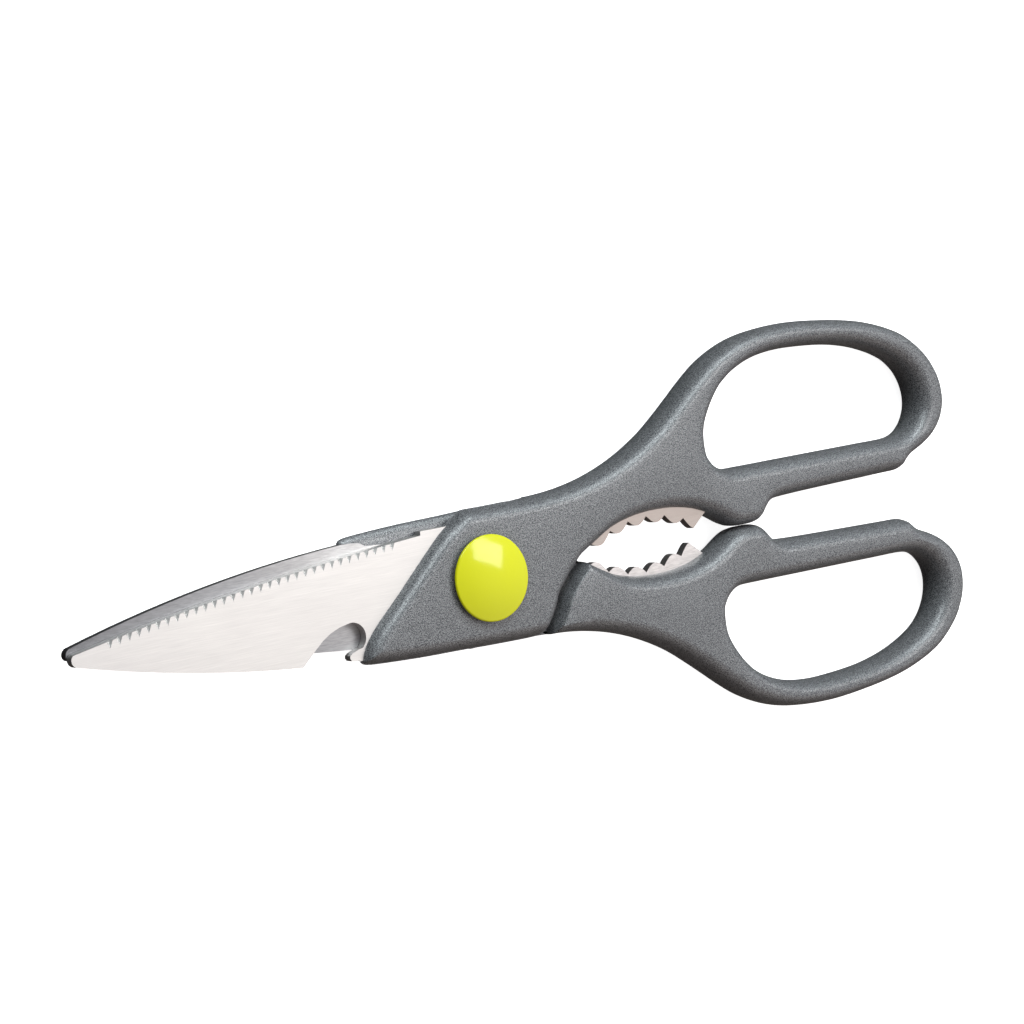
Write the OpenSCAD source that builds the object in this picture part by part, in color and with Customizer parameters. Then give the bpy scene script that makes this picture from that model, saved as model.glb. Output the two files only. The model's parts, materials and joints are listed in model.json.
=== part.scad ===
// Poultry shears, closed, lying on their back face.
// X runs from the blade tips (-X) to the finger loops (+X), Z is up and the
// pivot axis is x = y = 0. The rear half is the front half turned over about X.

/* [Blades] */
// Thickness of each blade
blade_t = 2; // [1.8:0.1:2.4]
// Distance from the pivot axis to the blade tips
blade_reach = 86.4; // [84:0.2:90]
// Number of serration grooves along the front cutting edge
groove_count = 32; // [10:1:36]
// Distance between two serration grooves
groove_pitch = 1.925; // [1.5:0.005:1.95]
// Width of a groove where it meets the edge
groove_w = 1.3; // [0.6:0.1:1.6]
// Length of a groove, measured in from the edge
groove_l = 1.3; // [0.6:0.05:1.6]

/* [Cracking jaw] */
// Distance between two jaw teeth
tooth_pitch = 4.75; // [4:0.05:5]
// Height of a jaw tooth
tooth_h = 1.5; // [0.8:0.1:1.8]

/* [Handles] */
// Thickness of the handles
handle_t = 9.2; // [9.2:0.1:11]
// Width of the rounding along the handle edges
edge_round = 2.8; // [1.6:0.1:2.9]

/* [Pivot] */
// Diameter of the shoulder that the blades turn on
shoulder_d = 7; // [5:0.5:8]
// Diameter of the screw head and of the nut
head_d = 11; // [10:0.5:11.5]
// Diameter of the two caps
cap_d = 16.9; // [15:0.1:18]
// Height of the front cap above the handle face
cap_h = 2.8; // [2:0.1:3.4]

/* [Fits] */
// Gap between the flat faces of the two halves
face_gap = 0.1; // [0.05:0.05:0.2]
// Gap between the two stop pads when the shears are closed
stop_gap = 0.2; // [0.1:0.1:0.6]
// Radial clearance of the front blade on the shoulder
bore_clear = 0.03; // [0.02:0.01:0.08]

/* [Hidden] */
$fn = 48;

half_t = handle_t / 2;            // from the contact plane to a handle face
face_z = face_gap / 2;            // flat face of a blade, above the contact plane
blade_top = face_z + blade_t;     // outer face of a blade
shoulder_r = shoulder_d / 2;
head_r = head_d / 2;
cap_r = cap_d / 2;
pocket_r = head_r + 1;            // round pocket that the cap plugs into
skirt_t = 0.7;                    // wall of the cap's plug
washer_t = 0.3;
spring_t = 0.45;
play = 0.05;                      // axial play at each side of the washers
washer_z = blade_top + play;
spring_z = washer_z + washer_t;
head_z = spring_z + spring_t;
head_top = half_t - 0.15;
thread_r = 2.5;
nut_t = 0.85;
rear_cap_t = 1.05;                // thickness of the flush rear cap
block_r = 18.7;                   // round end of the thin pivot block
step_r = block_r + 1;             // step where the handle gets its full thickness
thick_from = 13.9;                // no part of a handle is thick nearer to the tips than this
cut = 60;                         // size of the cutting blocks

// Rounding of the handles: upper angle of each nested slice on a quarter ellipse.
// A slice's width is that of the ellipse a little below its upper angle.
slice_angles = [28, 50, 70, 90];
slice_back = 11;

// Blade outline: both long sides are shallow arcs, given by ends and bulge
edge_start = [-blade_reach + 0.8, 0.7];
edge_end = [-12.6, 10.3];
edge_bulge = 1.07;
spine_start = [-blade_reach + 0.7, -1.6];
spine_end = [-29, -10.95];
spine_bulge = 1.5;
bevel_w = 0.12;                   // width of the ground bevel
bevel_land = 0.2;                 // thickness left at the cutting edge
first_groove = -78.85;
notch_c = [-30.2, -6.35];         // round end of the bottle opener notch
notch_r = 2.85;

groove_depth = 0.55;

// Jaw: the valleys of the teeth lie on a parabola
jaw_x = 41.25;
jaw_y = 5.8;
jaw_curve = 0.0187;
jaw_from = 27.35;
tooth_steps = 8;                  // points along one tooth
jaw_steps = 5.5 * tooth_steps;    // the jaw has five and a half teeth

function circle_points(c, r, a, b, n) =
    [for (i = [0:n]) let (w = a + (b - a) * i / n) c + r * [cos(w), sin(w)]];

// Circular arc from p to q that stands out by bulge to the left of that line
function arc_radius(p, q, bulge) = (norm(q - p) ^ 2 / 4 + bulge ^ 2) / (2 * bulge);

function arc_centre(p, q, bulge) =
    let (d = q - p)
    (p + q) / 2 - [-d[1], d[0]] / norm(d) * (arc_radius(p, q, bulge) - bulge);

function angle_of(v) = atan2(v[1], v[0]);

function arc_points(p, q, bulge, n) =
    let (c = arc_centre(p, q, bulge))
    circle_points(c, norm(p - c), angle_of(p - c), angle_of(q - c), n);

// Smooth curve through the points p, with n steps from each one to the next
function curve_step(a, b, c, d, t) =
    0.5 * (2 * b + (c - a) * t + (2 * a - 5 * b + 4 * c - d) * t ^ 2
           + (3 * b - a - 3 * c + d) * t ^ 3);

function smooth(p, n) =
    let (last = len(p) - 1)
    [for (i = [0:last - 1], k = [0:n - 1])
        curve_step(p[max(i - 1, 0)], p[i], p[i + 1], p[min(i + 2, last)], k / n), p[last]];

function smooth_loop(p, n) =
    let (m = len(p))
    [for (i = [0:m - 1], k = [0:n - 1])
        curve_step(p[(i + m - 1) % m], p[i], p[(i + 1) % m], p[(i + 2) % m], k / n)];

function jaw_edge(x) =
    jaw_y - jaw_curve * (x - jaw_x) ^ 2
    - tooth_h * abs(sin(180 * (x - jaw_from) / tooth_pitch));

// The toothed edge, from the hidden end of the jaw plate to its front
jaw_points =
    [for (i = [jaw_steps:-1:0])
        let (x = jaw_from + i * tooth_pitch / tooth_steps) [x, jaw_edge(x)]];

edge_r = arc_radius(edge_start, edge_end, edge_bulge);
edge_c = arc_centre(edge_start, edge_end, edge_bulge);
cutting_edge = arc_points(edge_start, edge_end, edge_bulge, 12);
spine = arc_points(spine_end, spine_start, spine_bulge, 14);
nose = [[-blade_reach + 0.25, -1.2], [-blade_reach + 0.04, -0.75], [-blade_reach, -0.3],
        [-blade_reach + 0.1, 0.1], [-blade_reach + 0.4, 0.48]];

// Hidden tang: it widens round the pivot and runs on to the jaw
tang_over = [[-12.55, 11], [0, 11.1], [18, 10.6], [30, 11.5], [45, 13.5], [57, 13],
             [60.5, 10.5], [60.5, 7.2], [58.5, 5.6]];
tang_under = [[24, 4.2], [15, -1], [10.5, -6.5], [4, -9.6], [-6, -9.3], [-18, -9.55],
              [-23.2, -9.9], [-23.9, -10], [-24.5, -10.4], [-25.2, -10.72], [-26.8, -10.9]];

blade_points = concat(nose, cutting_edge, tang_over, jaw_points, tang_under, spine);

// Bottle opener notch: a sloping run in from the spine, a round end and a hook
notch_slope = [[-43.1, -11.4], [-38.5, -7.3], [-36.6, -5.75], [-34.8, -4.7], [-32.8, -3.95]];
notch_hook = [[-29.3, -8.7], [-30.1, -9], [-30.8, -9.25], [-31.3, -9.6], [-31.4, -10.1],
              [-31.1, -10.6], [-30.6, -10.75], [-29.4, -10.8], [-29.1, -12]];
notch_points = concat(notch_slope, circle_points(notch_c, notch_r, 100, -50, 13), notch_hook);

// Handle outline, front half, in stretches between its sharp corners
block_corner = [-29.1, -11.4];
block_low = [[-27.9, -11.95], [-24.5, -12.3], [-15.5, -12.8], [-6.3, -13.05], [0, -13.3],
             [9.5, -13.5], [12.4, -13.3]];
block_under = smooth(concat([block_corner], block_low), 3);
block_end = circle_points([0, 0], block_r, -42, -20, 5);
block_flare = [[19.3, -4.4], [21.1, -2.3]];
jaw_arc = smooth([[22.4, -1.2], [24.2, 0.4], [28, 2.4], [32, 4.4], [36, 5.6], [40, 6.25],
                  [44, 6.45], [48, 6.3], [52, 5.7], [55, 4.85], [58, 3.6], [60, 2.5],
                  [62, 1.3], [64, 0.4], [66, stop_gap / 2]], 2);
stop_pad = smooth([[69.5, stop_gap / 2], [70.9, 0.4], [72.1, 1.2], [73, 2.2], [74.1, 3.4],
                   [75.8, 4.2], [79, 4.5], [86, 4.75], [98, 5.05], [109, 5.3]], 2);
outer_loop = smooth([[112.4, 5.4], [114, 6], [115.2, 7.1], [116.9, 8.2], [119.9, 9.4],
                     [122.6, 10.8], [124.9, 12.6], [126.8, 15], [128, 18], [128.25, 21],
                     [127.7, 24.3], [126.3, 27.4], [123.9, 30.7], [118.4, 35.1], [111, 38],
                     [103.5, 39.6], [95, 40.5], [86, 40.9], [77, 40.3], [69.3, 38.7],
                     [61.5, 35.1], [53.8, 29.4], [45.5, 23.2], [37, 18.7], [28.5, 15.8],
                     [20, 14.25], [12, 13.75], [5, 13.7], [-1.2, 13.7]], 2);
shoulder_corner = circle_points([-2.3, 11.6], 2.1, 93, 125, 3);
block_front = smooth([[-6.4, 11.5], [-8.6, 10.1], [-14.05, 5.2], [-19.3, 0.3], [-22.85, -2.85],
                      [-25.45, -5.25], [-27.7, -7.9], [-28.8, -10]], 2);
handle_points = concat(block_under, block_end, block_flare, jaw_arc, stop_pad, outer_loop,
                       shoulder_corner, block_front);

finger_hole = smooth_loop([[59, 17], [59.1, 20.8], [60.6, 24.3], [63.8, 28.6], [68, 31.8],
                           [74, 34.2], [80.5, 35.3], [87, 35.5], [95.7, 35.1], [103, 34],
                           [109.5, 32.1], [115, 29.5], [118.6, 26.2], [120.4, 22.4],
                           [120.4, 18.8], [118.6, 15.7], [115.6, 13.6], [111.5, 12.75],
                           [104, 12.65], [92, 12.55], [80, 12.45], [68, 12.35],
                           [63.8, 12.5], [61.2, 13.6], [59.6, 15.3]], 2);

// What the thick part of a handle leaves free for the other half to turn in
swing_zone = [[10, -6], [14, 13], [18.5, 6.7], [20.1, 5.1], [21.9, 3], [23.4, 1.9],
              [25.4, 1.25], [24.5, -6]];

// Puts a half that is modelled about the contact plane into place
module front_side() {
    translate([0, 0, half_t]) children();
}

module rear_side() {
    translate([0, 0, half_t]) rotate([180, 0, 0]) children();
}

// Ground bevel along the cutting edge: a cone about the centre of the edge's arc. The stretch of
// blade between the edge and the handle is left at its full width and thickness.
module bevel_cut() {
    low = face_z + bevel_land;
    slope = bevel_w / (blade_top - low);
    intersection() {
        translate([edge_c[0], edge_c[1], 0])
            rotate_extrude($fn = 1440)
                polygon([[edge_r + 0.02, low], [edge_r + 4, low], [edge_r + 4, blade_top + 1],
                         [edge_r - bevel_w - slope, blade_top + 1]]);
        translate([edge_end[0] - 2 * cut, -cut / 2, 0]) cube([2 * cut, cut, cut]);
    }
}

// One serration groove: a V cut that is deepest at the edge
module groove(x) {
    y = edge_c[1] + sqrt(edge_r ^ 2 - (x - edge_c[0]) ^ 2);
    rise = atan(groove_depth / groove_l);
    over = bevel_w + 0.5;
    translate([x, y - bevel_w, blade_top - groove_depth])
        rotate([90 - rise, 0, 0])
            translate([0, 0, -over])
                linear_extrude(groove_l + over + 0.1)
                    polygon([[0, 0], [groove_w, 2 * groove_depth], [-groove_w, 2 * groove_depth]]);
}

module blade(notched, bore_r) {
    difference() {
        translate([0, 0, face_z]) linear_extrude(blade_t) polygon(blade_points);
        bevel_cut();
        for (i = [0:groove_count - 1]) groove(first_groove + i * groove_pitch);
        if (notched) translate([0, 0, -1]) linear_extrude(blade_t + 3) polygon(notch_points);
        translate([0, 0, -1]) cylinder(r = bore_r, h = blade_t + 3, $fn = 96);
    }
}

module handle_plan() {
    difference() {
        polygon(handle_points);
        polygon(finger_hole);
    }
}

// Rounded plate: nested slices whose width follows an ellipse
module rounded_plate() {
    for (w = slice_angles)
        translate([0, 0, -half_t * sin(w)])
            linear_extrude(2 * half_t * sin(w))
                offset(delta = -edge_round * (1 - cos(w - slice_back))) handle_plan();
}

// The half that the other handle lies against is cut back to the contact plane
module handle(pocket) {
    difference() {
        rounded_plate();
        translate([0, 0, face_z - cut]) linear_extrude(cut) {
            circle(r = step_r, $fn = 96);
            translate([-cut, -cut / 2]) square([cut + thick_from, cut]);
            polygon(swing_zone);
        }
        translate([0, 0, face_z]) linear_extrude(blade_t) polygon(blade_points);
        cylinder(r = pocket_r, h = cut, $fn = 96);
        if (pocket > 0) translate([0, 0, half_t - pocket]) cylinder(r = cap_r, h = cut, $fn = 96);
    }
}

module front_blade() {
    color("gainsboro") front_side() blade(true, shoulder_r + bore_clear);
}

module rear_blade() {
    color("silver") rear_side() blade(false, shoulder_r);
}

module front_handle() {
    color("dimgray") front_side() handle(0);
}

module rear_handle() {
    color("dimgray") rear_side() handle(rear_cap_t);
}

// Shoulder screw: slotted head, shoulder through both blades, threaded end
module pivot_screw() {
    slot_w = 1.2;
    slot_depth = 0.6;
    color("darkgray") front_side() difference() {
        union() {
            translate([0, 0, head_z]) cylinder(r = head_r, h = head_top - head_z, $fn = 96);
            translate([0, 0, -blade_top]) cylinder(r = shoulder_r, h = blade_top + head_z, $fn = 96);
            translate([0, 0, -blade_top - nut_t]) cylinder(r = thread_r, h = nut_t, $fn = 96);
        }
        translate([-head_r, -slot_w / 2, head_top - slot_depth]) cube([head_d, slot_w, 2]);
    }
}

module pivot_nut() {
    color("darkgray") rear_side() difference() {
        translate([0, 0, blade_top]) cylinder(r = head_r, h = nut_t, $fn = 96);
        cylinder(r = thread_r, h = cut, $fn = 96);
    }
}

module washer(z, t, r) {
    front_side() translate([0, 0, z]) difference() {
        cylinder(r = r, h = t, $fn = 96);
        translate([0, 0, -1]) cylinder(r = shoulder_r + 0.05, h = t + 2, $fn = 96);
    }
}

module thrust_washer() {
    color("tan") washer(washer_z, washer_t, head_r - 0.2);
}

module spring_washer() {
    color("lightsteelblue") washer(spring_z, spring_t, head_r - 0.4);
}

// Domed cap with a plug that snaps into the round pocket of the handle
module front_cap() {
    rim = 1.4;
    bow = (cap_r ^ 2 + (cap_h - rim) ^ 2) / (2 * (cap_h - rim));
    seat_z = half_t + 0.02;
    dome = [for (i = [0:10])
               let (x = cap_r * (1 - i / 10))
               [x, half_t + cap_h - bow + sqrt(bow ^ 2 - x ^ 2)]];
    color("yellowgreen") front_side() rotate_extrude($fn = 96) {
        polygon(concat([[0, seat_z], [cap_r - 0.1, seat_z], [cap_r, seat_z + 0.13]], dome));
        translate([pocket_r - skirt_t, half_t - 0.9]) square([skirt_t, 1]);
    }
}

// Flush cap: its flat face lies in the plane that the shears rest on
module rear_cap() {
    color("yellowgreen") rear_side() rotate_extrude($fn = 96) {
        translate([0, half_t - rear_cap_t + 0.02]) square([cap_r, rear_cap_t - 0.02]);
        translate([pocket_r - skirt_t, blade_top + 0.1])
            square([skirt_t, half_t - rear_cap_t - blade_top]);
    }
}

front_blade();
rear_blade();
front_handle();
rear_handle();
pivot_screw();
pivot_nut();
thrust_washer();
spring_washer();
front_cap();
rear_cap();
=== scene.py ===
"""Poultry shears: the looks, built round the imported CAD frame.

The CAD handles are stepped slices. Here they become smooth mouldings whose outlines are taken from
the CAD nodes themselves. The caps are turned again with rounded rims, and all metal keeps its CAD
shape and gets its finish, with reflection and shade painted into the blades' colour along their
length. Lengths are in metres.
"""

import json
import math

import bmesh
import bpy
import numpy as np
from mathutils import Matrix, Vector


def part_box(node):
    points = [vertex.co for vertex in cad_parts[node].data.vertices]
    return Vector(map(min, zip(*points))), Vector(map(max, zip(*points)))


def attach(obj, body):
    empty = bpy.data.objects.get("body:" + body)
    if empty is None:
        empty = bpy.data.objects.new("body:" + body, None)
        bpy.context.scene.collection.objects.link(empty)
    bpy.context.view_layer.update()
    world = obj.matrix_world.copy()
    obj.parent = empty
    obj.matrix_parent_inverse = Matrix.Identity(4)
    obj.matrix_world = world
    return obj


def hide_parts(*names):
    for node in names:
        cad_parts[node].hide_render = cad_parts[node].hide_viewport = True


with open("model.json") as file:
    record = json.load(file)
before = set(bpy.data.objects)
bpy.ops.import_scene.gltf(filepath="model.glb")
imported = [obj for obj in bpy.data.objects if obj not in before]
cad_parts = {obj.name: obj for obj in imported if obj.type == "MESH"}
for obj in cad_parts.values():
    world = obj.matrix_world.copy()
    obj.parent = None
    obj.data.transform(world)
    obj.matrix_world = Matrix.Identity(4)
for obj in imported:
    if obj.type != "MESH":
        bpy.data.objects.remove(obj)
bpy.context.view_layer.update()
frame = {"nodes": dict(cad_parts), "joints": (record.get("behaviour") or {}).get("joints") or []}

MM = 0.001
PIVOT = Vector(frame["joints"][0]["pos_m"])
HALF = PIVOT.z  # from the contact plane to a handle's flat face
FACE_Z = 0.1 * MM  # contact face of the moulding, just behind the steel

# How the CAD slices stand for the rounding of the handles
ROUND = 2.8 * MM
SLICE_ANGLE = math.radians(39)
SLICE_Z = 3.0 * MM  # a height, from the contact plane, inside the slice of that angle
SLICE_INSET = ROUND * (1 - math.cos(SLICE_ANGLE))

# Points this close are one point
SAME_POINT = 1e-6
MESH_WELD = 2e-7
MESH_TINY = 1e-7

# Outlines of the mouldings
STRAIGHT = 2e-4  # sine of the turn below which a point is in the middle of a straight side
CORNER_ANGLE = 25  # degrees of turn from which a corner is rounded
CORNER_R = 0.7 * MM
CORNER_STEPS = 6  # points of that rounding
CORNER_SHARE = 0.45  # of a side, the most that a corner's rounding takes
LONG_SIDE = 6.5 * MM  # a longer side is split, so that the curve stays on it
SPLIT_SIDE = 0.35 * LONG_SIDE
CURVE_STEPS = 12  # points of the curve for each point of the outline
SPACING = 0.55 * MM  # between two points of a resampled outline

# Roundings of the mouldings, from an outline over to the flat face
RING_ANGLES = np.radians([0, 7, 15, 24, 34, 44, 54, 64, 74, 82, 90])
SHARP_TURN = 0.2  # sine of the turn from which a ring's corner is worked out exactly
RING_SLACK = 0.012 * MM  # by which a ring may come too close to another outline
PARALLEL = 0.1  # sine of the angle below which two lines are not made to meet
MEET_REACH = 2 * SPACING  # how far from the last good point two lines may meet
FEW_POINTS = 6  # a ring with fewer good points than this is left as it is
BAR_ROUND = 3.0 * MM  # width of the rounding
SLIM_LESS = 0.5 * MM  # by how much it is narrower in the middle of the loop's outer bar
SLIM_X = 84 * MM  # that middle
SLIM_REACH = 26 * MM  # how far along the bar it is felt
SLIM_Y = 30 * MM  # the outer bar lies beyond this
STEP_ROUND = 0.9 * MM  # width of the rounding along the step beside the pivot block
STEP_BLEND = 9 * MM  # over which the outline's rounding narrows to that of the step
STEP_AWAY = 0.08 * MM  # from the outline, for a point to be on the step
CHAIN_PASSES = 8  # how often the step's outline is averaged with its neighbours
CONTACT_ROUND = 3.4 * MM  # rounding of the thin block towards the other half: width
CONTACT_LIFT = 1.5 * MM  # and height
CONTACT_BLEND = 6 * MM  # over which it dies out at the step's ends
SHARP_EDGE = math.radians(32)  # faces that meet at more than this have a sharp edge


# --- Outlines ---------------------------------------------------------------------------------


def section_loops(node, z):
    """Closed outlines of a CAD node's section at height z, the longest first, as (n, 2) arrays."""
    bm = bmesh.new()
    bm.from_mesh(frame["nodes"][node].data)
    bmesh.ops.remove_doubles(bm, verts=bm.verts, dist=MESH_TINY)
    geometry = bm.verts[:] + bm.edges[:] + bm.faces[:]
    cut = bmesh.ops.bisect_plane(
        bm, geom=geometry, plane_co=(0, 0, z), plane_no=(0, 0, 1)
    )["geom_cut"]
    edges = {e for e in cut if isinstance(e, bmesh.types.BMEdge)}
    loops = []
    while edges:
        first = min(edges, key=lambda e: e.index)
        edges.remove(first)
        start, v = first.verts
        points = [start.co.copy()]
        while v is not start:
            points.append(v.co.copy())
            step = next(e for e in v.link_edges if e in edges)
            edges.remove(step)
            v = step.other_vert(v)
        loops.append(np.array([(p.x, p.y) for p in points]))
    bm.free()
    return sorted(loops, key=lambda p: -perimeter(p))


def perimeter(p):
    """Length of a loop."""
    return np.linalg.norm(np.roll(p, -1, 0) - p, axis=1).sum()


def area(p):
    """Area inside a loop, negative if it runs clockwise."""
    q = np.roll(p, -1, 0)
    return 0.5 * (p[:, 0] * q[:, 1] - p[:, 1] * q[:, 0]).sum()


def drop_straight(p):
    """The loop without doubled points and points in the middle of a straight side."""
    p = p[np.linalg.norm(np.roll(p, -1, 0) - p, axis=1) > SAME_POINT]
    a, b = p - np.roll(p, 1, 0), np.roll(p, -1, 0) - p
    cross = np.abs(a[:, 0] * b[:, 1] - a[:, 1] * b[:, 0])
    return p[cross / (np.linalg.norm(a, axis=1) * np.linalg.norm(b, axis=1)) > STRAIGHT]


def edge_normals(p, side):
    """Unit normals of a loop's edges. side is 1 if the material lies left of the loop."""
    d = np.roll(p, -1, 0) - p
    n = np.stack([-d[:, 1], d[:, 0]], 1) * side
    return n / np.linalg.norm(n, axis=1)[:, None]


def mitre_offset(p, inset, side):
    """The loop moved into the material by inset, or out of it if inset is negative."""
    after = edge_normals(p, side)
    before = np.roll(after, 1, 0)
    n = before + after
    n /= (1 + (before * after).sum(1))[:, None]
    return p + n * inset


def corner_flags(p, angle):
    """Which points of the loop turn it by more than that many degrees."""
    a, b = p - np.roll(p, 1, 0), np.roll(p, -1, 0) - p
    turn = np.arctan2(a[:, 0] * b[:, 1] - a[:, 1] * b[:, 0], (a * b).sum(1))
    return np.abs(turn) > math.radians(angle)


def round_corners(p, flags, radius):
    """Each flagged corner becomes a short arc of that radius."""
    out = []
    n = len(p)
    for i in range(n):
        if not flags[i]:
            out.append(p[i])
            continue
        a, b = p[i - 1] - p[i], p[(i + 1) % n] - p[i]
        la, lb = np.linalg.norm(a), np.linalg.norm(b)
        a, b = a / la, b / lb
        half = 0.5 * math.acos(np.clip((a * b).sum(), -1, 1))
        back = min(radius / math.tan(half), CORNER_SHARE * la, CORNER_SHARE * lb)
        r = back * math.tan(half)
        centre = p[i] + (a + b) / np.linalg.norm(a + b) * r / math.sin(half)
        s, e = p[i] + a * back - centre, p[i] + b * back - centre
        w0 = math.atan2(s[1], s[0])
        dw = math.atan2(s[0] * e[1] - s[1] * e[0], (s * e).sum())
        for t in np.linspace(0, 1, CORNER_STEPS):
            w = w0 + dw * t
            out.append(centre + r * np.array([math.cos(w), math.sin(w)]))
    return np.array(out)


def split_long(p):
    """The loop with points put into its long sides."""
    out = []
    for a, b in zip(p, np.roll(p, -1, 0)):
        length = np.linalg.norm(b - a)
        parts = int(length / SPLIT_SIDE) + 1 if length > LONG_SIDE else 1
        out += [a + (b - a) * k / parts for k in range(parts)]
    return np.array(out)


def curve_through(p):
    """Closed centripetal Catmull-Rom curve through the points."""
    q = np.vstack([p[-1:], p, p[:2]])
    out = []
    for i in range(1, len(q) - 2):
        p0, p1, p2, p3 = q[i - 1 : i + 3]
        t0 = 0.0
        t1 = t0 + math.sqrt(np.linalg.norm(p1 - p0))
        t2 = t1 + math.sqrt(np.linalg.norm(p2 - p1))
        t3 = t2 + math.sqrt(np.linalg.norm(p3 - p2))
        for t in t1 + (t2 - t1) * np.arange(CURVE_STEPS) / CURVE_STEPS:
            a1 = (t1 - t) / (t1 - t0) * p0 + (t - t0) / (t1 - t0) * p1
            a2 = (t2 - t) / (t2 - t1) * p1 + (t - t1) / (t2 - t1) * p2
            a3 = (t3 - t) / (t3 - t2) * p2 + (t - t2) / (t3 - t2) * p3
            b1 = (t2 - t) / (t2 - t0) * a1 + (t - t0) / (t2 - t0) * a2
            b2 = (t3 - t) / (t3 - t1) * a2 + (t - t1) / (t3 - t1) * a3
            out.append((t2 - t) / (t2 - t1) * b1 + (t - t1) / (t2 - t1) * b2)
    return np.array(out)


def resample(p, closed=True):
    """Points along a loop or an open line at even distances, SPACING or close to it."""
    q = np.vstack([p, p[:1]]) if closed else p
    s = np.concatenate([[0], np.cumsum(np.linalg.norm(np.diff(q, axis=0), axis=1))])
    n = max(4, round(s[-1] / SPACING))
    at = np.linspace(0, s[-1], n + 1)
    out = np.stack([np.interp(at, s, q[:, k]) for k in (0, 1)], 1)
    return out[:-1] if closed else out


def smooth_outline(loop, side):
    """A CAD outline at its full size, with small corner radii, as an even smooth loop."""
    p = mitre_offset(drop_straight(loop), -SLICE_INSET, side)
    p = round_corners(p, corner_flags(p, CORNER_ANGLE), CORNER_R)
    return resample(curve_through(split_long(p)))


# --- Rounded shells ---------------------------------------------------------------------------


def distances(q, a, b):
    """Distance of each point of q from each segment a-b."""
    d = b - a
    t = ((q[:, None] - a[None]) * d[None]).sum(2) / (d * d).sum(1)[None]
    nearest = a[None] + np.clip(t, 0, 1)[..., None] * d[None]
    return np.linalg.norm(q[:, None] - nearest, axis=2)


def shell_rings(loops, sides, widths):
    """For each loop, its rings from the outline inwards: ring k lies width * (1 - cos) inside.

    Where a corner leaves no room for a ring, its points gather in the corner of that ring.
    """
    starts = np.vstack(loops)
    ends = np.vstack([np.roll(p, -1, 0) for p in loops])
    width_of = np.concatenate([0.5 * (w + np.roll(w, -1)) for w in widths])
    made = []
    for p, side, w in zip(loops, sides, widths):
        after = edge_normals(p, side)
        before = np.roll(after, 1, 0)
        rings = []
        for angle in RING_ANGLES:
            share = 1 - math.cos(angle)
            d1 = 0.5 * (w + np.roll(w, 1)) * share
            d2 = 0.5 * (w + np.roll(w, -1)) * share
            cross = before[:, 0] * after[:, 1] - before[:, 1] * after[:, 0]
            sharp = np.abs(cross) > SHARP_TURN
            n = before + after
            n /= (1 + (before * after).sum(1))[:, None]
            q = p + n * (w * share)[:, None]
            c = np.where(sharp, cross, 1)
            x = (d1 * after[:, 1] - d2 * before[:, 1]) / c
            y = (d2 * before[:, 0] - d1 * after[:, 0]) / c
            q = np.where(sharp[:, None], p + np.stack([x, y], 1), q)
            if share > 0:
                room = distances(q, starts, ends) - width_of[None] * share
                q = gather(q, room.min(1) > -RING_SLACK)
            rings.append(q)
        made.append(rings)
    return made


def gather(q, valid):
    """Runs of points that have no room move to where their neighbours' lines meet."""
    n = len(q)
    if valid.all() or valid.sum() < FEW_POINTS:
        return q
    q = q.copy()
    start = int(np.argmax(valid))
    i = 0
    while i < n:
        k = (start + i) % n
        if valid[k]:
            i += 1
            continue
        run = []
        while not valid[(start + i) % n]:
            run.append((start + i) % n)
            i += 1
        a, b = (run[0] - 1) % n, (run[-1] + 1) % n
        meet = 0.5 * (q[a] + q[b])
        if valid[a - 1] and valid[(b + 1) % n]:
            da, db = q[a] - q[a - 1], q[b] - q[(b + 1) % n]
            cross = da[0] * db[1] - da[1] * db[0]
            if abs(cross) > PARALLEL * np.linalg.norm(da) * np.linalg.norm(db):
                gap = q[b] - q[a]
                t = (gap[0] * db[1] - gap[1] * db[0]) / cross
                s = (gap[0] * da[1] - gap[1] * da[0]) / cross
                if t > -1 and s > -1 and t * np.linalg.norm(da) < MEET_REACH:
                    meet = q[a] + t * da
        for k in run:
            q[k] = meet
    return q


class Skin:
    """Collects the rings, bands and fills of one closed mesh, and welds them at the end."""

    def __init__(self):
        self.bm = bmesh.new()

    def ring(self, p, z):
        """New vertices at the points p, all at height z or each at its own."""
        z = np.broadcast_to(z, len(p))
        return [self.bm.verts.new((x, y, h)) for (x, y), h in zip(p, z)]

    def band(self, a, b, closed=True):
        """Faces between two rings, or two open rows, with as many vertices each."""
        last = len(a) if closed else len(a) - 1
        for i in range(last):
            j = (i + 1) % len(a)
            self.bm.faces.new((a[i], a[j], b[j], b[i]))

    def object(self, name, place):
        """The welded mesh as an object of the scene, moved by the matrix place."""
        bm = self.bm
        bmesh.ops.remove_doubles(bm, verts=bm.verts, dist=MESH_WELD)
        bmesh.ops.dissolve_degenerate(bm, dist=MESH_TINY, edges=bm.edges)
        bmesh.ops.recalc_face_normals(bm, faces=bm.faces)
        bm.transform(place)
        mesh = bpy.data.meshes.new(name)
        bm.to_mesh(mesh)
        bm.free()
        mesh.shade_smooth()
        mesh.set_sharp_from_angle(angle=SHARP_EDGE)
        made = bpy.data.objects.new(name, mesh)
        bpy.context.scene.collection.objects.link(made)
        return made


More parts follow.
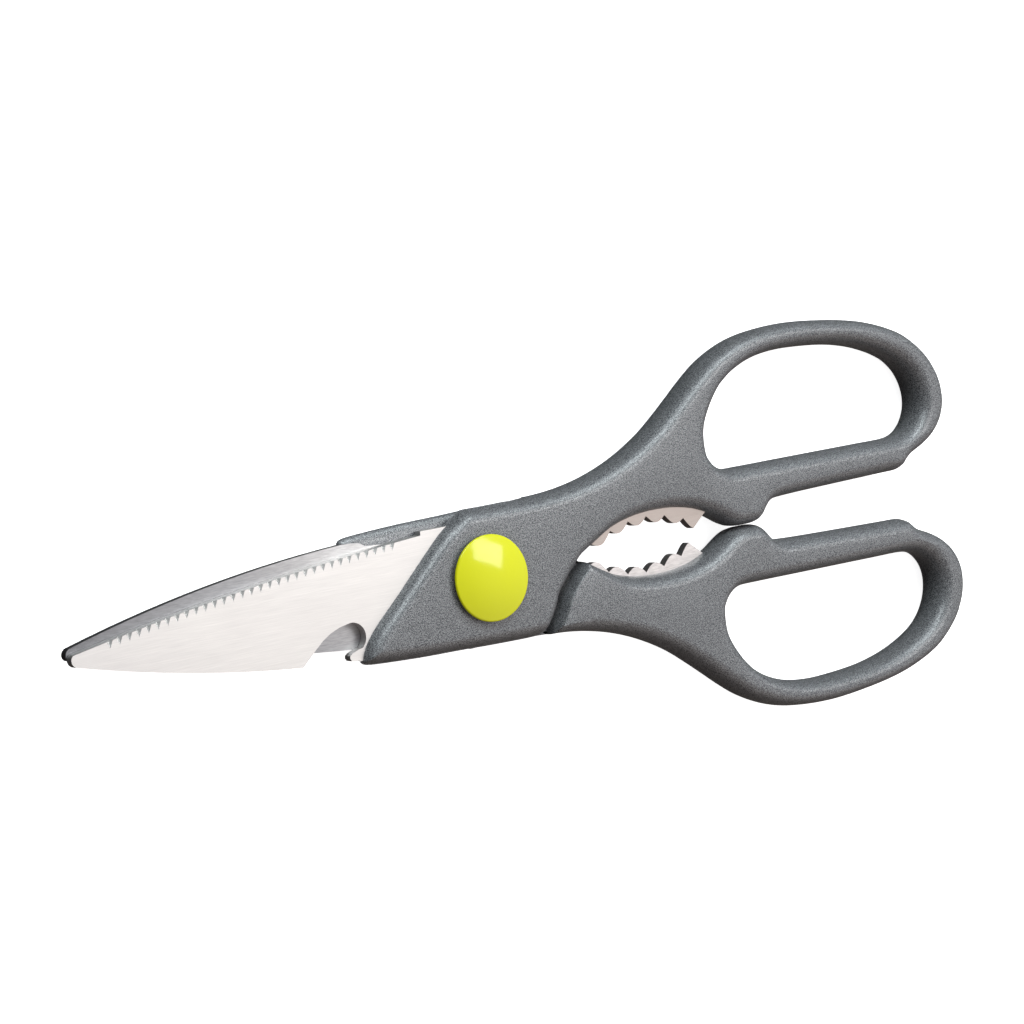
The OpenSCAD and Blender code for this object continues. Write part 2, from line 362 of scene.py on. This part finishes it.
def fill(skin, *rings):
    """Flat fill between closed rings. Doubled points are left out first."""
    points, edges = [], []
    for ring in rings:
        thin = [ring[0]]
        for v in ring[1:]:
            if (v.co - thin[-1].co).length > SAME_POINT:
                thin.append(v)
        if (thin[-1].co - thin[0].co).length <= SAME_POINT:
            thin.pop()
        base = len(points)
        points += [v.co.copy() for v in thin]
        edges += [(base + i, base + (i + 1) % len(thin)) for i in range(len(thin))]
    bm = bmesh.new()
    verts = [bm.verts.new(p) for p in points]
    for a, b in edges:
        bm.edges.new((verts[a], verts[b]))
    bmesh.ops.triangle_fill(bm, edges=bm.edges[:], use_beauty=True)
    bm.verts.index_update()
    new = [skin.bm.verts.new(v.co) for v in bm.verts]
    for f in bm.faces:
        skin.bm.faces.new([new[v.index] for v in f.verts])
    bm.free()


def circle(radius, n):
    """n points of a circle about the pivot."""
    w = np.linspace(0, 2 * math.pi, n, endpoint=False)
    return radius * np.stack([np.cos(w), np.sin(w)], 1)


# --- Handles ----------------------------------------------------------------------------------

BORE_SIDES = 96


def bar_width(p):
    """Width of the rounding at each point: less where the loop's bar is slim."""
    slim = np.exp(-(((p[:, 0] - SLIM_X) / SLIM_REACH) ** 2)) * (p[:, 1] > SLIM_Y)
    return BAR_ROUND - SLIM_LESS * slim


def from_ends(n):
    """For n points in a row at the usual spacing, how far each is from the nearer end."""
    return SPACING * np.minimum(np.arange(n), np.arange(n)[::-1])


def thick_region(outline, thick_loop):
    """The step between the thick and the thin part of a handle, and its ends on the outline.

    thick_loop is the outline behind the contact plane, where the thin block has no material.
    """
    ends = np.roll(outline, -1, 0)
    away = distances(thick_loop, outline, ends).min(1)
    on_step = away > SLICE_INSET + STEP_AWAY
    k = int(np.argmin(on_step))
    order = (np.arange(len(on_step)) + k) % len(on_step)
    chain = thick_loop[[i for i in order if on_step[i]]]
    first = 2 * chain[0] - chain[1]
    last = 2 * chain[-1] - chain[-2]
    i = int(np.argmin(np.linalg.norm(outline - first, axis=1)))
    j = int(np.argmin(np.linalg.norm(outline - last, axis=1)))
    chain = np.vstack([outline[i], chain, outline[j]])
    return chain, i, j


def make_handle(name, node, side_up, profile):
    """A handle's moulding, in the frame of its half: z is up from the contact plane.

    side_up is 1 for the front half. The rear half is built alike and turned over about X, so
    side_up is -1. profile gives the pocket for the cap and the bore, as (radius, height).
    """
    place = Matrix.Translation(PIVOT)
    if side_up < 0:
        place = place @ Matrix.Rotation(math.pi, 4, "X")

    def local(p):
        return p * np.array([1, side_up])

    loops = [local(p) for p in section_loops(node, PIVOT.z + side_up * SLICE_Z)]
    loops = [p if area(p) > 0 else p[::-1] for p in loops]
    outline = smooth_outline(loops[0], 1)
    hole = smooth_outline(loops[1], -1)
    thick = [local(p) for p in section_loops(node, PIVOT.z - side_up * SLICE_Z)][0]
    thick = drop_straight(thick if area(thick) > 0 else thick[::-1])
    chain, i, j = thick_region(outline, resample(thick))
    chain = resample(chain, closed=False)
    for _ in range(CHAIN_PASSES):
        chain[1:-1] = 0.25 * chain[:-2] + 0.5 * chain[1:-1] + 0.25 * chain[2:]

    # The thick side is the way round from i to j that reaches the far end of the loop
    n = len(outline)
    thick_run = [(i + k) % n for k in range((j - i) % n + 1)]
    thin_run = [(j + k) % n for k in range((i - j) % n + 1)]
    if outline[thick_run][:, 0].max() < outline[thin_run][:, 0].max():
        thick_run, thin_run = thin_run, thick_run
    start = outline[thick_run[0]]
    if np.linalg.norm(chain[0] - start) < np.linalg.norm(chain[-1] - start):
        chain = chain[::-1]  # from the end of the thick run back to its start
    inner_chain = chain[1:-1]

    skin = Skin()
    soft = np.zeros(n)
    soft[thin_run] = np.clip(from_ends(len(thin_run)) / CONTACT_BLEND, 0, 1) ** 2
    base = CONTACT_LIFT * soft
    base[thin_run] += FACE_Z
    heights = HALF * np.sin(RING_ANGLES)

    # Upper shell
    widths = [bar_width(outline), bar_width(hole)]
    rings = shell_rings([outline, hole], [1, -1], widths)
    tops = []
    for loop_rings, low in zip(rings, (base, np.zeros(len(hole)))):
        previous = skin.ring(loop_rings[0], low)
        for q, z in zip(loop_rings[1:], heights[1:]):
            current = skin.ring(q, np.maximum(z, low))
            skin.band(previous, current)
            previous = current
        tops.append(previous)

    # Pocket for the cap, through the pivot block
    rim = skin.ring(circle(profile[0][0], BORE_SIDES), HALF)
    fill(skin, tops[0], tops[1], rim)
    previous = rim
    for r, z in profile[1:]:
        current = skin.ring(circle(r, BORE_SIDES), z)
        skin.band(previous, current)
        previous = current
    bore = previous

    # Contact face of the thin block
    contact = shell_rings([outline], [1], [CONTACT_ROUND * soft])[0]
    previous = skin.ring(outline[thin_run], base[thin_run])
    for q, angle in zip(contact[1:], RING_ANGLES[1:]):
        z = FACE_Z + CONTACT_LIFT * soft[thin_run] * (1 - math.sin(angle))
        current = skin.ring(q[thin_run], z)
        skin.band(previous, current, closed=False)
        previous = current
    fill(skin, previous + skin.ring(inner_chain[::-1], FACE_Z), bore)

    # Lower shell, behind the contact plane
    run = outline[thick_run]
    lower = np.vstack([run, inner_chain])
    blend = np.clip(from_ends(len(run)) / STEP_BLEND, 0, 1) ** 0.5
    run_width = STEP_ROUND + (bar_width(run) - STEP_ROUND) * blend
    low_width = np.concatenate([run_width, np.full(len(inner_chain), STEP_ROUND)])
    low_base = np.concatenate([base[thick_run], np.full(len(inner_chain), FACE_Z)])
    rings = shell_rings([lower, hole], [1, -1], [low_width, bar_width(hole)])
    bottoms = []
    for loop_rings, low in zip(rings, (low_base, np.zeros(len(hole)))):
        previous = skin.ring(loop_rings[0], low)
        for q, z in zip(loop_rings[1:], -heights[1:]):
            current = skin.ring(q, z)
            skin.band(previous, current)
            previous = current
        bottoms.append(previous)
    fill(skin, bottoms[0], bottoms[1])
    return skin.object(name, place)


CAP_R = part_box("front_cap")[1].x
PLUG_R = 6.5 * MM  # of the caps' stems, inside the bores
REAR_RECESS = 1.05 * MM  # depth of the pocket for the flush cap
POCKET_GAP = 0.05 * MM  # round that cap

front_grip = make_handle("front_grip", "front_handle", 1, [(PLUG_R, HALF), (PLUG_R, FACE_Z)])
rear_grip = make_handle(
    "rear_grip",
    "rear_handle",
    -1,
    [
        (CAP_R + POCKET_GAP, HALF),
        (CAP_R + POCKET_GAP, HALF - REAR_RECESS),
        (PLUG_R, HALF - REAR_RECESS),
        (PLUG_R, FACE_Z),
    ],
)
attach(front_grip, "front_half")
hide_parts("front_handle")
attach(rear_grip, "rear_half")
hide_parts("rear_handle")


# --- Caps -------------------------------------------------------------------------------------

CAP_SIDES = 128
CAP_LIFT = 0.02 * MM  # between a cap and the face that it lies on
DOME_STEPS = 28
RIM_R = 0.45 * MM
RIM_STEPS = 8
RIM_HEIGHT = 1.3 * MM  # of the front cap's rim above its seat: the dome begins there
RIM_TAPER = 0.08 * MM  # by which the rim is narrower where its undercut begins
RIM_DROP = 0.06 * MM  # from the rim's rounding down to there
UNDERCUT = 0.95 * MM  # by which the underside is narrower than the rim
REAR_RIM_R = 0.25 * MM
REAR_RIM_STEPS = 6


def turned(name, profile, place):
    """A solid of revolution about the pivot axis. The profile runs from axis to axis."""
    skin = Skin()
    previous = None
    for r, z in profile:
        if r == 0:
            current = [skin.bm.verts.new((0, 0, z))] * CAP_SIDES
        else:
            current = skin.ring(circle(r, CAP_SIDES), z)
        if previous is not None:
            for k in range(CAP_SIDES):
                m = (k + 1) % CAP_SIDES
                corners = [previous[k], previous[m], current[m], current[k]]
                corners = list(dict.fromkeys(corners))
                skin.bm.faces.new(corners)
        previous = current
    return skin.object(name, place)


def arc(cr, cz, r, a, b, n):
    """Points of an arc in the (radius, height) plane, angles in degrees."""
    w = np.radians(np.linspace(a, b, n))
    return [(cr + r * math.cos(t), cz + r * math.sin(t)) for t in w]


cap_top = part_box("front_cap")[1].z - PIVOT.z
seat = HALF + CAP_LIFT
shoulder = seat + RIM_HEIGHT
rise = cap_top - shoulder
# Radius of the dome, and its slope at the rim
bow = ((CAP_R - RIM_R) ** 2 + rise**2) / (2 * rise)
lean = math.degrees(math.asin((CAP_R - RIM_R) / bow))
dome = arc(0, cap_top - bow, bow, 90 - lean, 90, DOME_STEPS)
corner = arc(CAP_R - RIM_R, shoulder - RIM_R, RIM_R, 0, 90 - lean, RIM_STEPS)
underside = [
    (0, seat),
    (CAP_R - UNDERCUT, seat),
    (CAP_R - RIM_TAPER, shoulder - RIM_R - RIM_DROP),
]
front_dome = turned(
    "front_cap_dome",
    underside + corner + dome[1:-1] + [(0, cap_top)],
    Matrix.Translation(PIVOT),
)
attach(front_dome, "front_half")
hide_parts("front_cap")

rear_in = HALF - REAR_RECESS + CAP_LIFT
rear_disc = turned(
    "rear_cap_disc",
    [(0, rear_in), (CAP_R, rear_in)]
    + arc(CAP_R - REAR_RIM_R, HALF - REAR_RIM_R, REAR_RIM_R, 0, 90, REAR_RIM_STEPS)
    + [(0, HALF)],
    Matrix.Translation(PIVOT) @ Matrix.Rotation(math.pi, 4, "X"),
)
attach(rear_disc, "rear_half")
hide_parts("rear_cap")


# --- Materials --------------------------------------------------------------------------------


def colour_ramp(tree, value, stops):
    """The colour for a value from 0 to 1, between stops of (place, colour)."""
    ramp = tree.nodes.new("ShaderNodeValToRGB")
    while len(ramp.color_ramp.elements) < len(stops):
        ramp.color_ramp.elements.new(0.5)
    for element, (at, colour) in zip(ramp.color_ramp.elements, stops):
        element.position = at
        element.color = (*colour, 1)
    tree.links.new(value, ramp.inputs["Fac"])
    return ramp.outputs["Color"]


class Nodes:
    """Short hand for one material's node tree."""

    def __init__(self, name):
        self.material = bpy.data.materials.new(name)
        self.material.use_nodes = True
        self.tree = self.material.node_tree
        self.shader = next(n for n in self.tree.nodes if n.type == "BSDF_PRINCIPLED")

    def add(self, kind, **values):
        node = self.tree.nodes.new(kind)
        for key, value in values.items():
            setattr(node, key, value)
        return node

    def link(self, a, b):
        self.tree.links.new(a, b)

    def coords(self, scale=(1, 1, 1), turn=0.0):
        """Place on the piece in metres, scaled and turned about Z."""
        source = self.add("ShaderNodeTexCoord")
        mapping = self.add("ShaderNodeMapping")
        mapping.inputs["Scale"].default_value = scale
        mapping.inputs["Rotation"].default_value = (0, 0, turn)
        self.link(source.outputs["Object"], mapping.inputs["Vector"])
        return mapping.outputs["Vector"]

    def noise(self, size, detail=2.0, roughness=0.5, **where):
        """Noise from 0 to 1. A larger size is a finer grain."""
        node = self.add("ShaderNodeTexNoise")
        node.inputs["Scale"].default_value = size
        node.inputs["Detail"].default_value = detail
        node.inputs["Roughness"].default_value = roughness
        self.link(self.coords(**where), node.inputs["Vector"])
        return node.outputs["Fac"]

    def remap(self, value, a, b, c, d):
        """The value, with the range a to b moved to c to d."""
        node = self.add("ShaderNodeMapRange")
        for key, v in (("From Min", a), ("From Max", b), ("To Min", c), ("To Max", d)):
            node.inputs[key].default_value = v
        self.link(value, node.inputs["Value"])
        return node.outputs["Result"]

    def mix(self, factor, a, b, blend="MIX"):
        """Two colours mixed. Each input is a socket, a number or a colour."""
        node = self.add("ShaderNodeMix", data_type="RGBA", blend_type=blend)
        for socket, v in ((node.inputs[0], factor), (node.inputs[6], a), (node.inputs[7], b)):
            if isinstance(v, bpy.types.NodeSocket):
                self.link(v, socket)
            elif isinstance(v, (int, float)):
                socket.default_value = v
            else:
                socket.default_value = (*v, 1)
        return node.outputs[2]

    def bump(self, height, distance, strength):
        node = self.add("ShaderNodeBump")
        node.inputs["Strength"].default_value = strength
        node.inputs["Distance"].default_value = distance
        self.link(height, node.inputs["Height"])
        return node.outputs["Normal"]

    def painted_reflection(self, stops):
        """Painted reflection and shade along the blade, as a colour ramp. A stop's place is X plus
        Y, given in mm.
        """
        low, high = stops[0][0], stops[-1][0]
        parts = self.add("ShaderNodeSeparateXYZ")
        self.link(self.coords(), parts.inputs[0])
        total = self.add("ShaderNodeMath", operation="ADD")
        self.link(parts.outputs["X"], total.inputs[0])
        self.link(parts.outputs["Y"], total.inputs[1])
        share = self.remap(total.outputs[0], low * MM, high * MM, 0, 1)
        shares = [((at - low) / (high - low), tint) for at, tint in stops]
        return colour_ramp(self.tree, share, shares)

    def set(self, **values):
        """Links or sets inputs of the shader: Base_Color stands for "Base Color"."""
        for key, v in values.items():
            socket = self.shader.inputs[key.replace("_", " ")]
            if isinstance(v, bpy.types.NodeSocket):
                self.link(v, socket)
            elif isinstance(v, tuple) and len(v) == 3 and socket.type == "RGBA":
                socket.default_value = (*v, 1)
            else:
                socket.default_value = v
        return self.material


def grip_material():
    m = Nodes("grip_plastic")
    flake = m.noise(5200, 1.0, 0.6)
    speck = m.noise(3900, 1.0, 0.6)
    cloud = m.noise(60, 3.0, 0.5)
    grey = m.mix(m.remap(flake, 0.35, 0.68, 0, 1), (0.012, 0.014, 0.018), (0.245, 0.25, 0.26))
    grey = m.mix(m.remap(cloud, 0.3, 0.7, 0, 0.12), grey, (0.105, 0.109, 0.118))
    return m.set(
        Base_Color=grey,
        Roughness=m.remap(speck, 0.3, 0.7, 0.31, 0.43),
        Metallic=0.2,
        Specular_IOR_Level=0.5,
        Normal=m.bump(speck, 0.03 * MM, 0.6),
    )


def cap_material():
    m = Nodes("cap_plastic")
    cloud = m.noise(90, 2.0)
    wear = m.noise(700, 3.0, 0.6)
    lime = m.mix(cloud, (0.50, 0.51, 0.0), (0.53, 0.535, 0.0))
    return m.set(
        Base_Color=lime,
        Roughness=m.remap(wear, 0.3, 0.75, 0.1, 0.16),
        Specular_IOR_Level=0.45,
        Normal=m.bump(wear, 0.01 * MM, 0.12),
    )


def steel_material(
    name, base, dark, rough, turn=0.0, along=160, across=9000, bump=0.4, painted_reflection=None
):
    """Steel brushed in the direction of turn. along and across are the noise's scales.

    The last argument is a list of stops, see Nodes, that paint reflection and shade into the
    blade's colour along its length.
    """
    m = Nodes(name)
    brush = m.noise(1.0, 3.0, 0.65, scale=(along, across, across), turn=turn)
    wide = m.noise(1.0, 2.0, 0.5, scale=(along / 8, across / 12, across / 12), turn=turn)
    stain = m.noise(120, 3.0, 0.55)
    tone = m.mix(m.remap(brush, 0.3, 0.7, 0, 1), dark, base)
    tone = m.mix(m.remap(wide, 0.35, 0.7, 0.0, 0.35), tone, dark)
    # Painted reflection and shade: the colour is multiplied by a ramp along the blade
    if painted_reflection:
        tone = m.mix(1.0, tone, m.painted_reflection(painted_reflection), "MULTIPLY")
    return m.set(
        Base_Color=tone,
        Metallic=1.0,
        Roughness=m.remap(m.mix(0.5, brush, stain), 0.3, 0.7, rough, rough + 0.14),
        Normal=m.bump(brush, 0.006 * MM, bump),
    )


grip = grip_material()
cap = cap_material()
front_steel = steel_material(
    "front_steel",
    base=(0.66, 0.64, 0.625),
    dark=(0.55, 0.535, 0.525),
    rough=0.36,
    # Painted shade: browner and darker towards the jaw, and a touch darker at the tip
    painted_reflection=[
        (-90, (0.95, 0.95, 0.96)),
        (-60, (1, 1, 1)),
        (15, (1, 1, 1)),
        (28, (0.62, 0.56, 0.53)),
    ],
)
rear_steel = steel_material(
    "rear_steel",
    base=(0.68, 0.68, 0.69),
    dark=(0.44, 0.44, 0.45),
    rough=0.34,
    turn=math.radians(60),
    along=500,
    across=5000,
    bump=0.7,
    # Painted reflection: the rear blade goes much darker towards the tip
    painted_reflection=[
        (-90, (0.27, 0.27, 0.28)),
        (-45, (0.54, 0.54, 0.55)),
        (-32, (0.62, 0.61, 0.61)),
        (-19, (0.9, 0.89, 0.88)),
        (28, (1.0, 0.95, 0.92)),
    ],
)
pivot_steel = steel_material(
    "pivot_steel",
    base=(0.6, 0.6, 0.6),
    dark=(0.45, 0.45, 0.46),
    rough=0.3,
    along=800,
    across=800,
)

for piece in (front_grip, rear_grip):
    piece.data.materials.append(grip)
for piece in (front_dome, rear_disc):
    piece.data.materials.append(cap)
steel_of = {
    "front_blade": front_steel,
    "rear_blade": rear_steel,
    "pivot_screw": pivot_steel,
    "pivot_nut": pivot_steel,
    "thrust_washer": pivot_steel,
    "spring_washer": pivot_steel,
}
for node, steel in steel_of.items():
    mesh = frame["nodes"][node].data
    mesh.materials.clear()
    mesh.materials.append(steel)


# --- Studio -----------------------------------------------------------------------------------

SKY_STRENGTH = 1.6
FLOOR_GLOW = 0.88
FLOOR_REACH = 3.0
FLOOR_DROP = 0.2 * MM  # below the shears, so that no face lies in another

corners = [(x * FLOOR_REACH, y * FLOOR_REACH, 0) for x, y in ((-1, -1), (1, -1), (1, 1), (-1, 1))]
floor_mesh = bpy.data.meshes.new("floor")
floor_mesh.from_pydata(corners, [], [(0, 1, 2, 3)])
floor = bpy.data.objects.new("floor", floor_mesh)
bpy.context.scene.collection.objects.link(floor)
floor.location.z = -FLOOR_DROP
pale = Nodes("pale_floor")
floor_mesh.materials.append(
    pale.set(
        Base_Color=(0.9, 0.9, 0.9),
        Roughness=0.9,
        Emission_Color=(1.0, 1.0, 1.0),
        Emission_Strength=FLOOR_GLOW,
    )
)
floor.visible_diffuse = False
floor.visible_glossy = False


def softbox(name, direction, distance, width, height, radiance, colour, roll=0.0):
    """A lamp in that direction from the pivot, facing it, with a given brightness of its face."""
    data = bpy.data.lights.new(name, "AREA")
    data.shape = "RECTANGLE"
    data.size, data.size_y = width, height
    data.energy = radiance * math.pi * width * height
    data.color = colour
    lamp = bpy.data.objects.new(name, data)
    place = PIVOT + Vector(direction).normalized() * distance
    turn = (PIVOT - place).to_track_quat("-Z", "Y").to_matrix().to_4x4()
    lamp.matrix_world = Matrix.Translation(place) @ turn @ Matrix.Rotation(roll, 4, "Z")
    bpy.context.scene.collection.objects.link(lamp)


softbox(
    "key_softbox",
    direction=(0.48, 0.30, 0.81),
    distance=1.15,
    width=0.66,
    height=0.42,
    radiance=6.0,
    colour=(1.0, 0.985, 0.96),
    roll=math.radians(35),
)
softbox(
    "top_softbox",
    direction=(0.0, 0.80, 0.58),
    distance=1.2,
    width=1.4,
    height=0.32,
    radiance=10.0,
    colour=(0.92, 1.0, 1.0),
)
softbox(
    "back_softbox",
    direction=(0.1, 1.0, 0.35),
    distance=1.3,
    width=1.2,
    height=0.4,
    radiance=1.2,
    colour=(0.88, 0.95, 1.0),
)

world = bpy.context.scene.world or bpy.data.worlds.new("studio")
bpy.context.scene.world = world
world.use_nodes = True
sky = world.node_tree
background = sky.nodes["Background"]
place = sky.nodes.new("ShaderNodeTexCoord")
axes = sky.nodes.new("ShaderNodeSeparateXYZ")
sky.links.new(place.outputs["Generated"], axes.inputs[0])


def sky_ramp(axis, stops):
    """Colours over one component of the direction: a stop at 0 is -1, and a stop at 1 is 1."""
    share = sky.nodes.new("ShaderNodeMapRange")
    share.inputs["From Min"].default_value = -1
    sky.links.new(axes.outputs[axis], share.inputs["Value"])
    return colour_ramp(sky, share.outputs["Result"], stops)


across = sky_ramp(
    "Y", [(0.0, (0.80, 0.69, 0.62)), (0.5, (0.72, 0.71, 0.72)), (1.0, (0.75, 0.85, 0.9))]
)
along = sky_ramp(
    "X", [(0.0, (0.16, 0.16, 0.17)), (0.4, (0.5, 0.5, 0.5)), (0.76, (1.0, 1.0, 1.0))]
)
product = sky_ramp(
    "Z",
    [
        (0.0, (0.05, 0.05, 0.05)),
        (0.48, (0.12, 0.11, 0.1)),
        (0.62, (0.7, 0.7, 0.7)),
        (1.0, (1.0, 1.0, 1.0)),
    ],
)
for other in (across, along):
    times = sky.nodes.new("ShaderNodeMix")
    times.data_type, times.blend_type = "RGBA", "MULTIPLY"
    times.inputs[0].default_value = 1
    sky.links.new(product, times.inputs[6])
    sky.links.new(other, times.inputs[7])
    product = times.outputs[2]
sky.links.new(product, background.inputs["Color"])
background.inputs["Strength"].default_value = SKY_STRENGTH
bpy.context.scene.view_settings.view_transform = "Standard"


# --- Camera -----------------------------------------------------------------------------------

# The camera's axes and place, in the frame's axes and from the pivot
RIGHT = Vector((0.81232138, -0.12754863, 0.56909166))
UP = Vector((0.14760994, 0.98898493, 0.0109595))
BACK = Vector((-0.56422095, 0.07510095, 0.82220105))
CAMERA_PLACE = Vector((-249.0, 45.84, 378.04)) * MM
SENSOR = 36  # mm
FOCAL_SHARE = 2344.3 / 1024  # focal length as a share of the picture's width
CLIP_START = 0.01

camera_data = bpy.data.cameras.new("camera")
camera_data.sensor_width = SENSOR
camera_data.lens = SENSOR * FOCAL_SHARE
camera_data.clip_start = CLIP_START
camera = bpy.data.objects.new("camera", camera_data)
turn = Matrix((RIGHT, UP, BACK)).transposed().to_4x4()
camera.matrix_world = Matrix.Translation(PIVOT + CAMERA_PLACE) @ turn
bpy.context.scene.collection.objects.link(camera)
bpy.context.scene.camera = camera
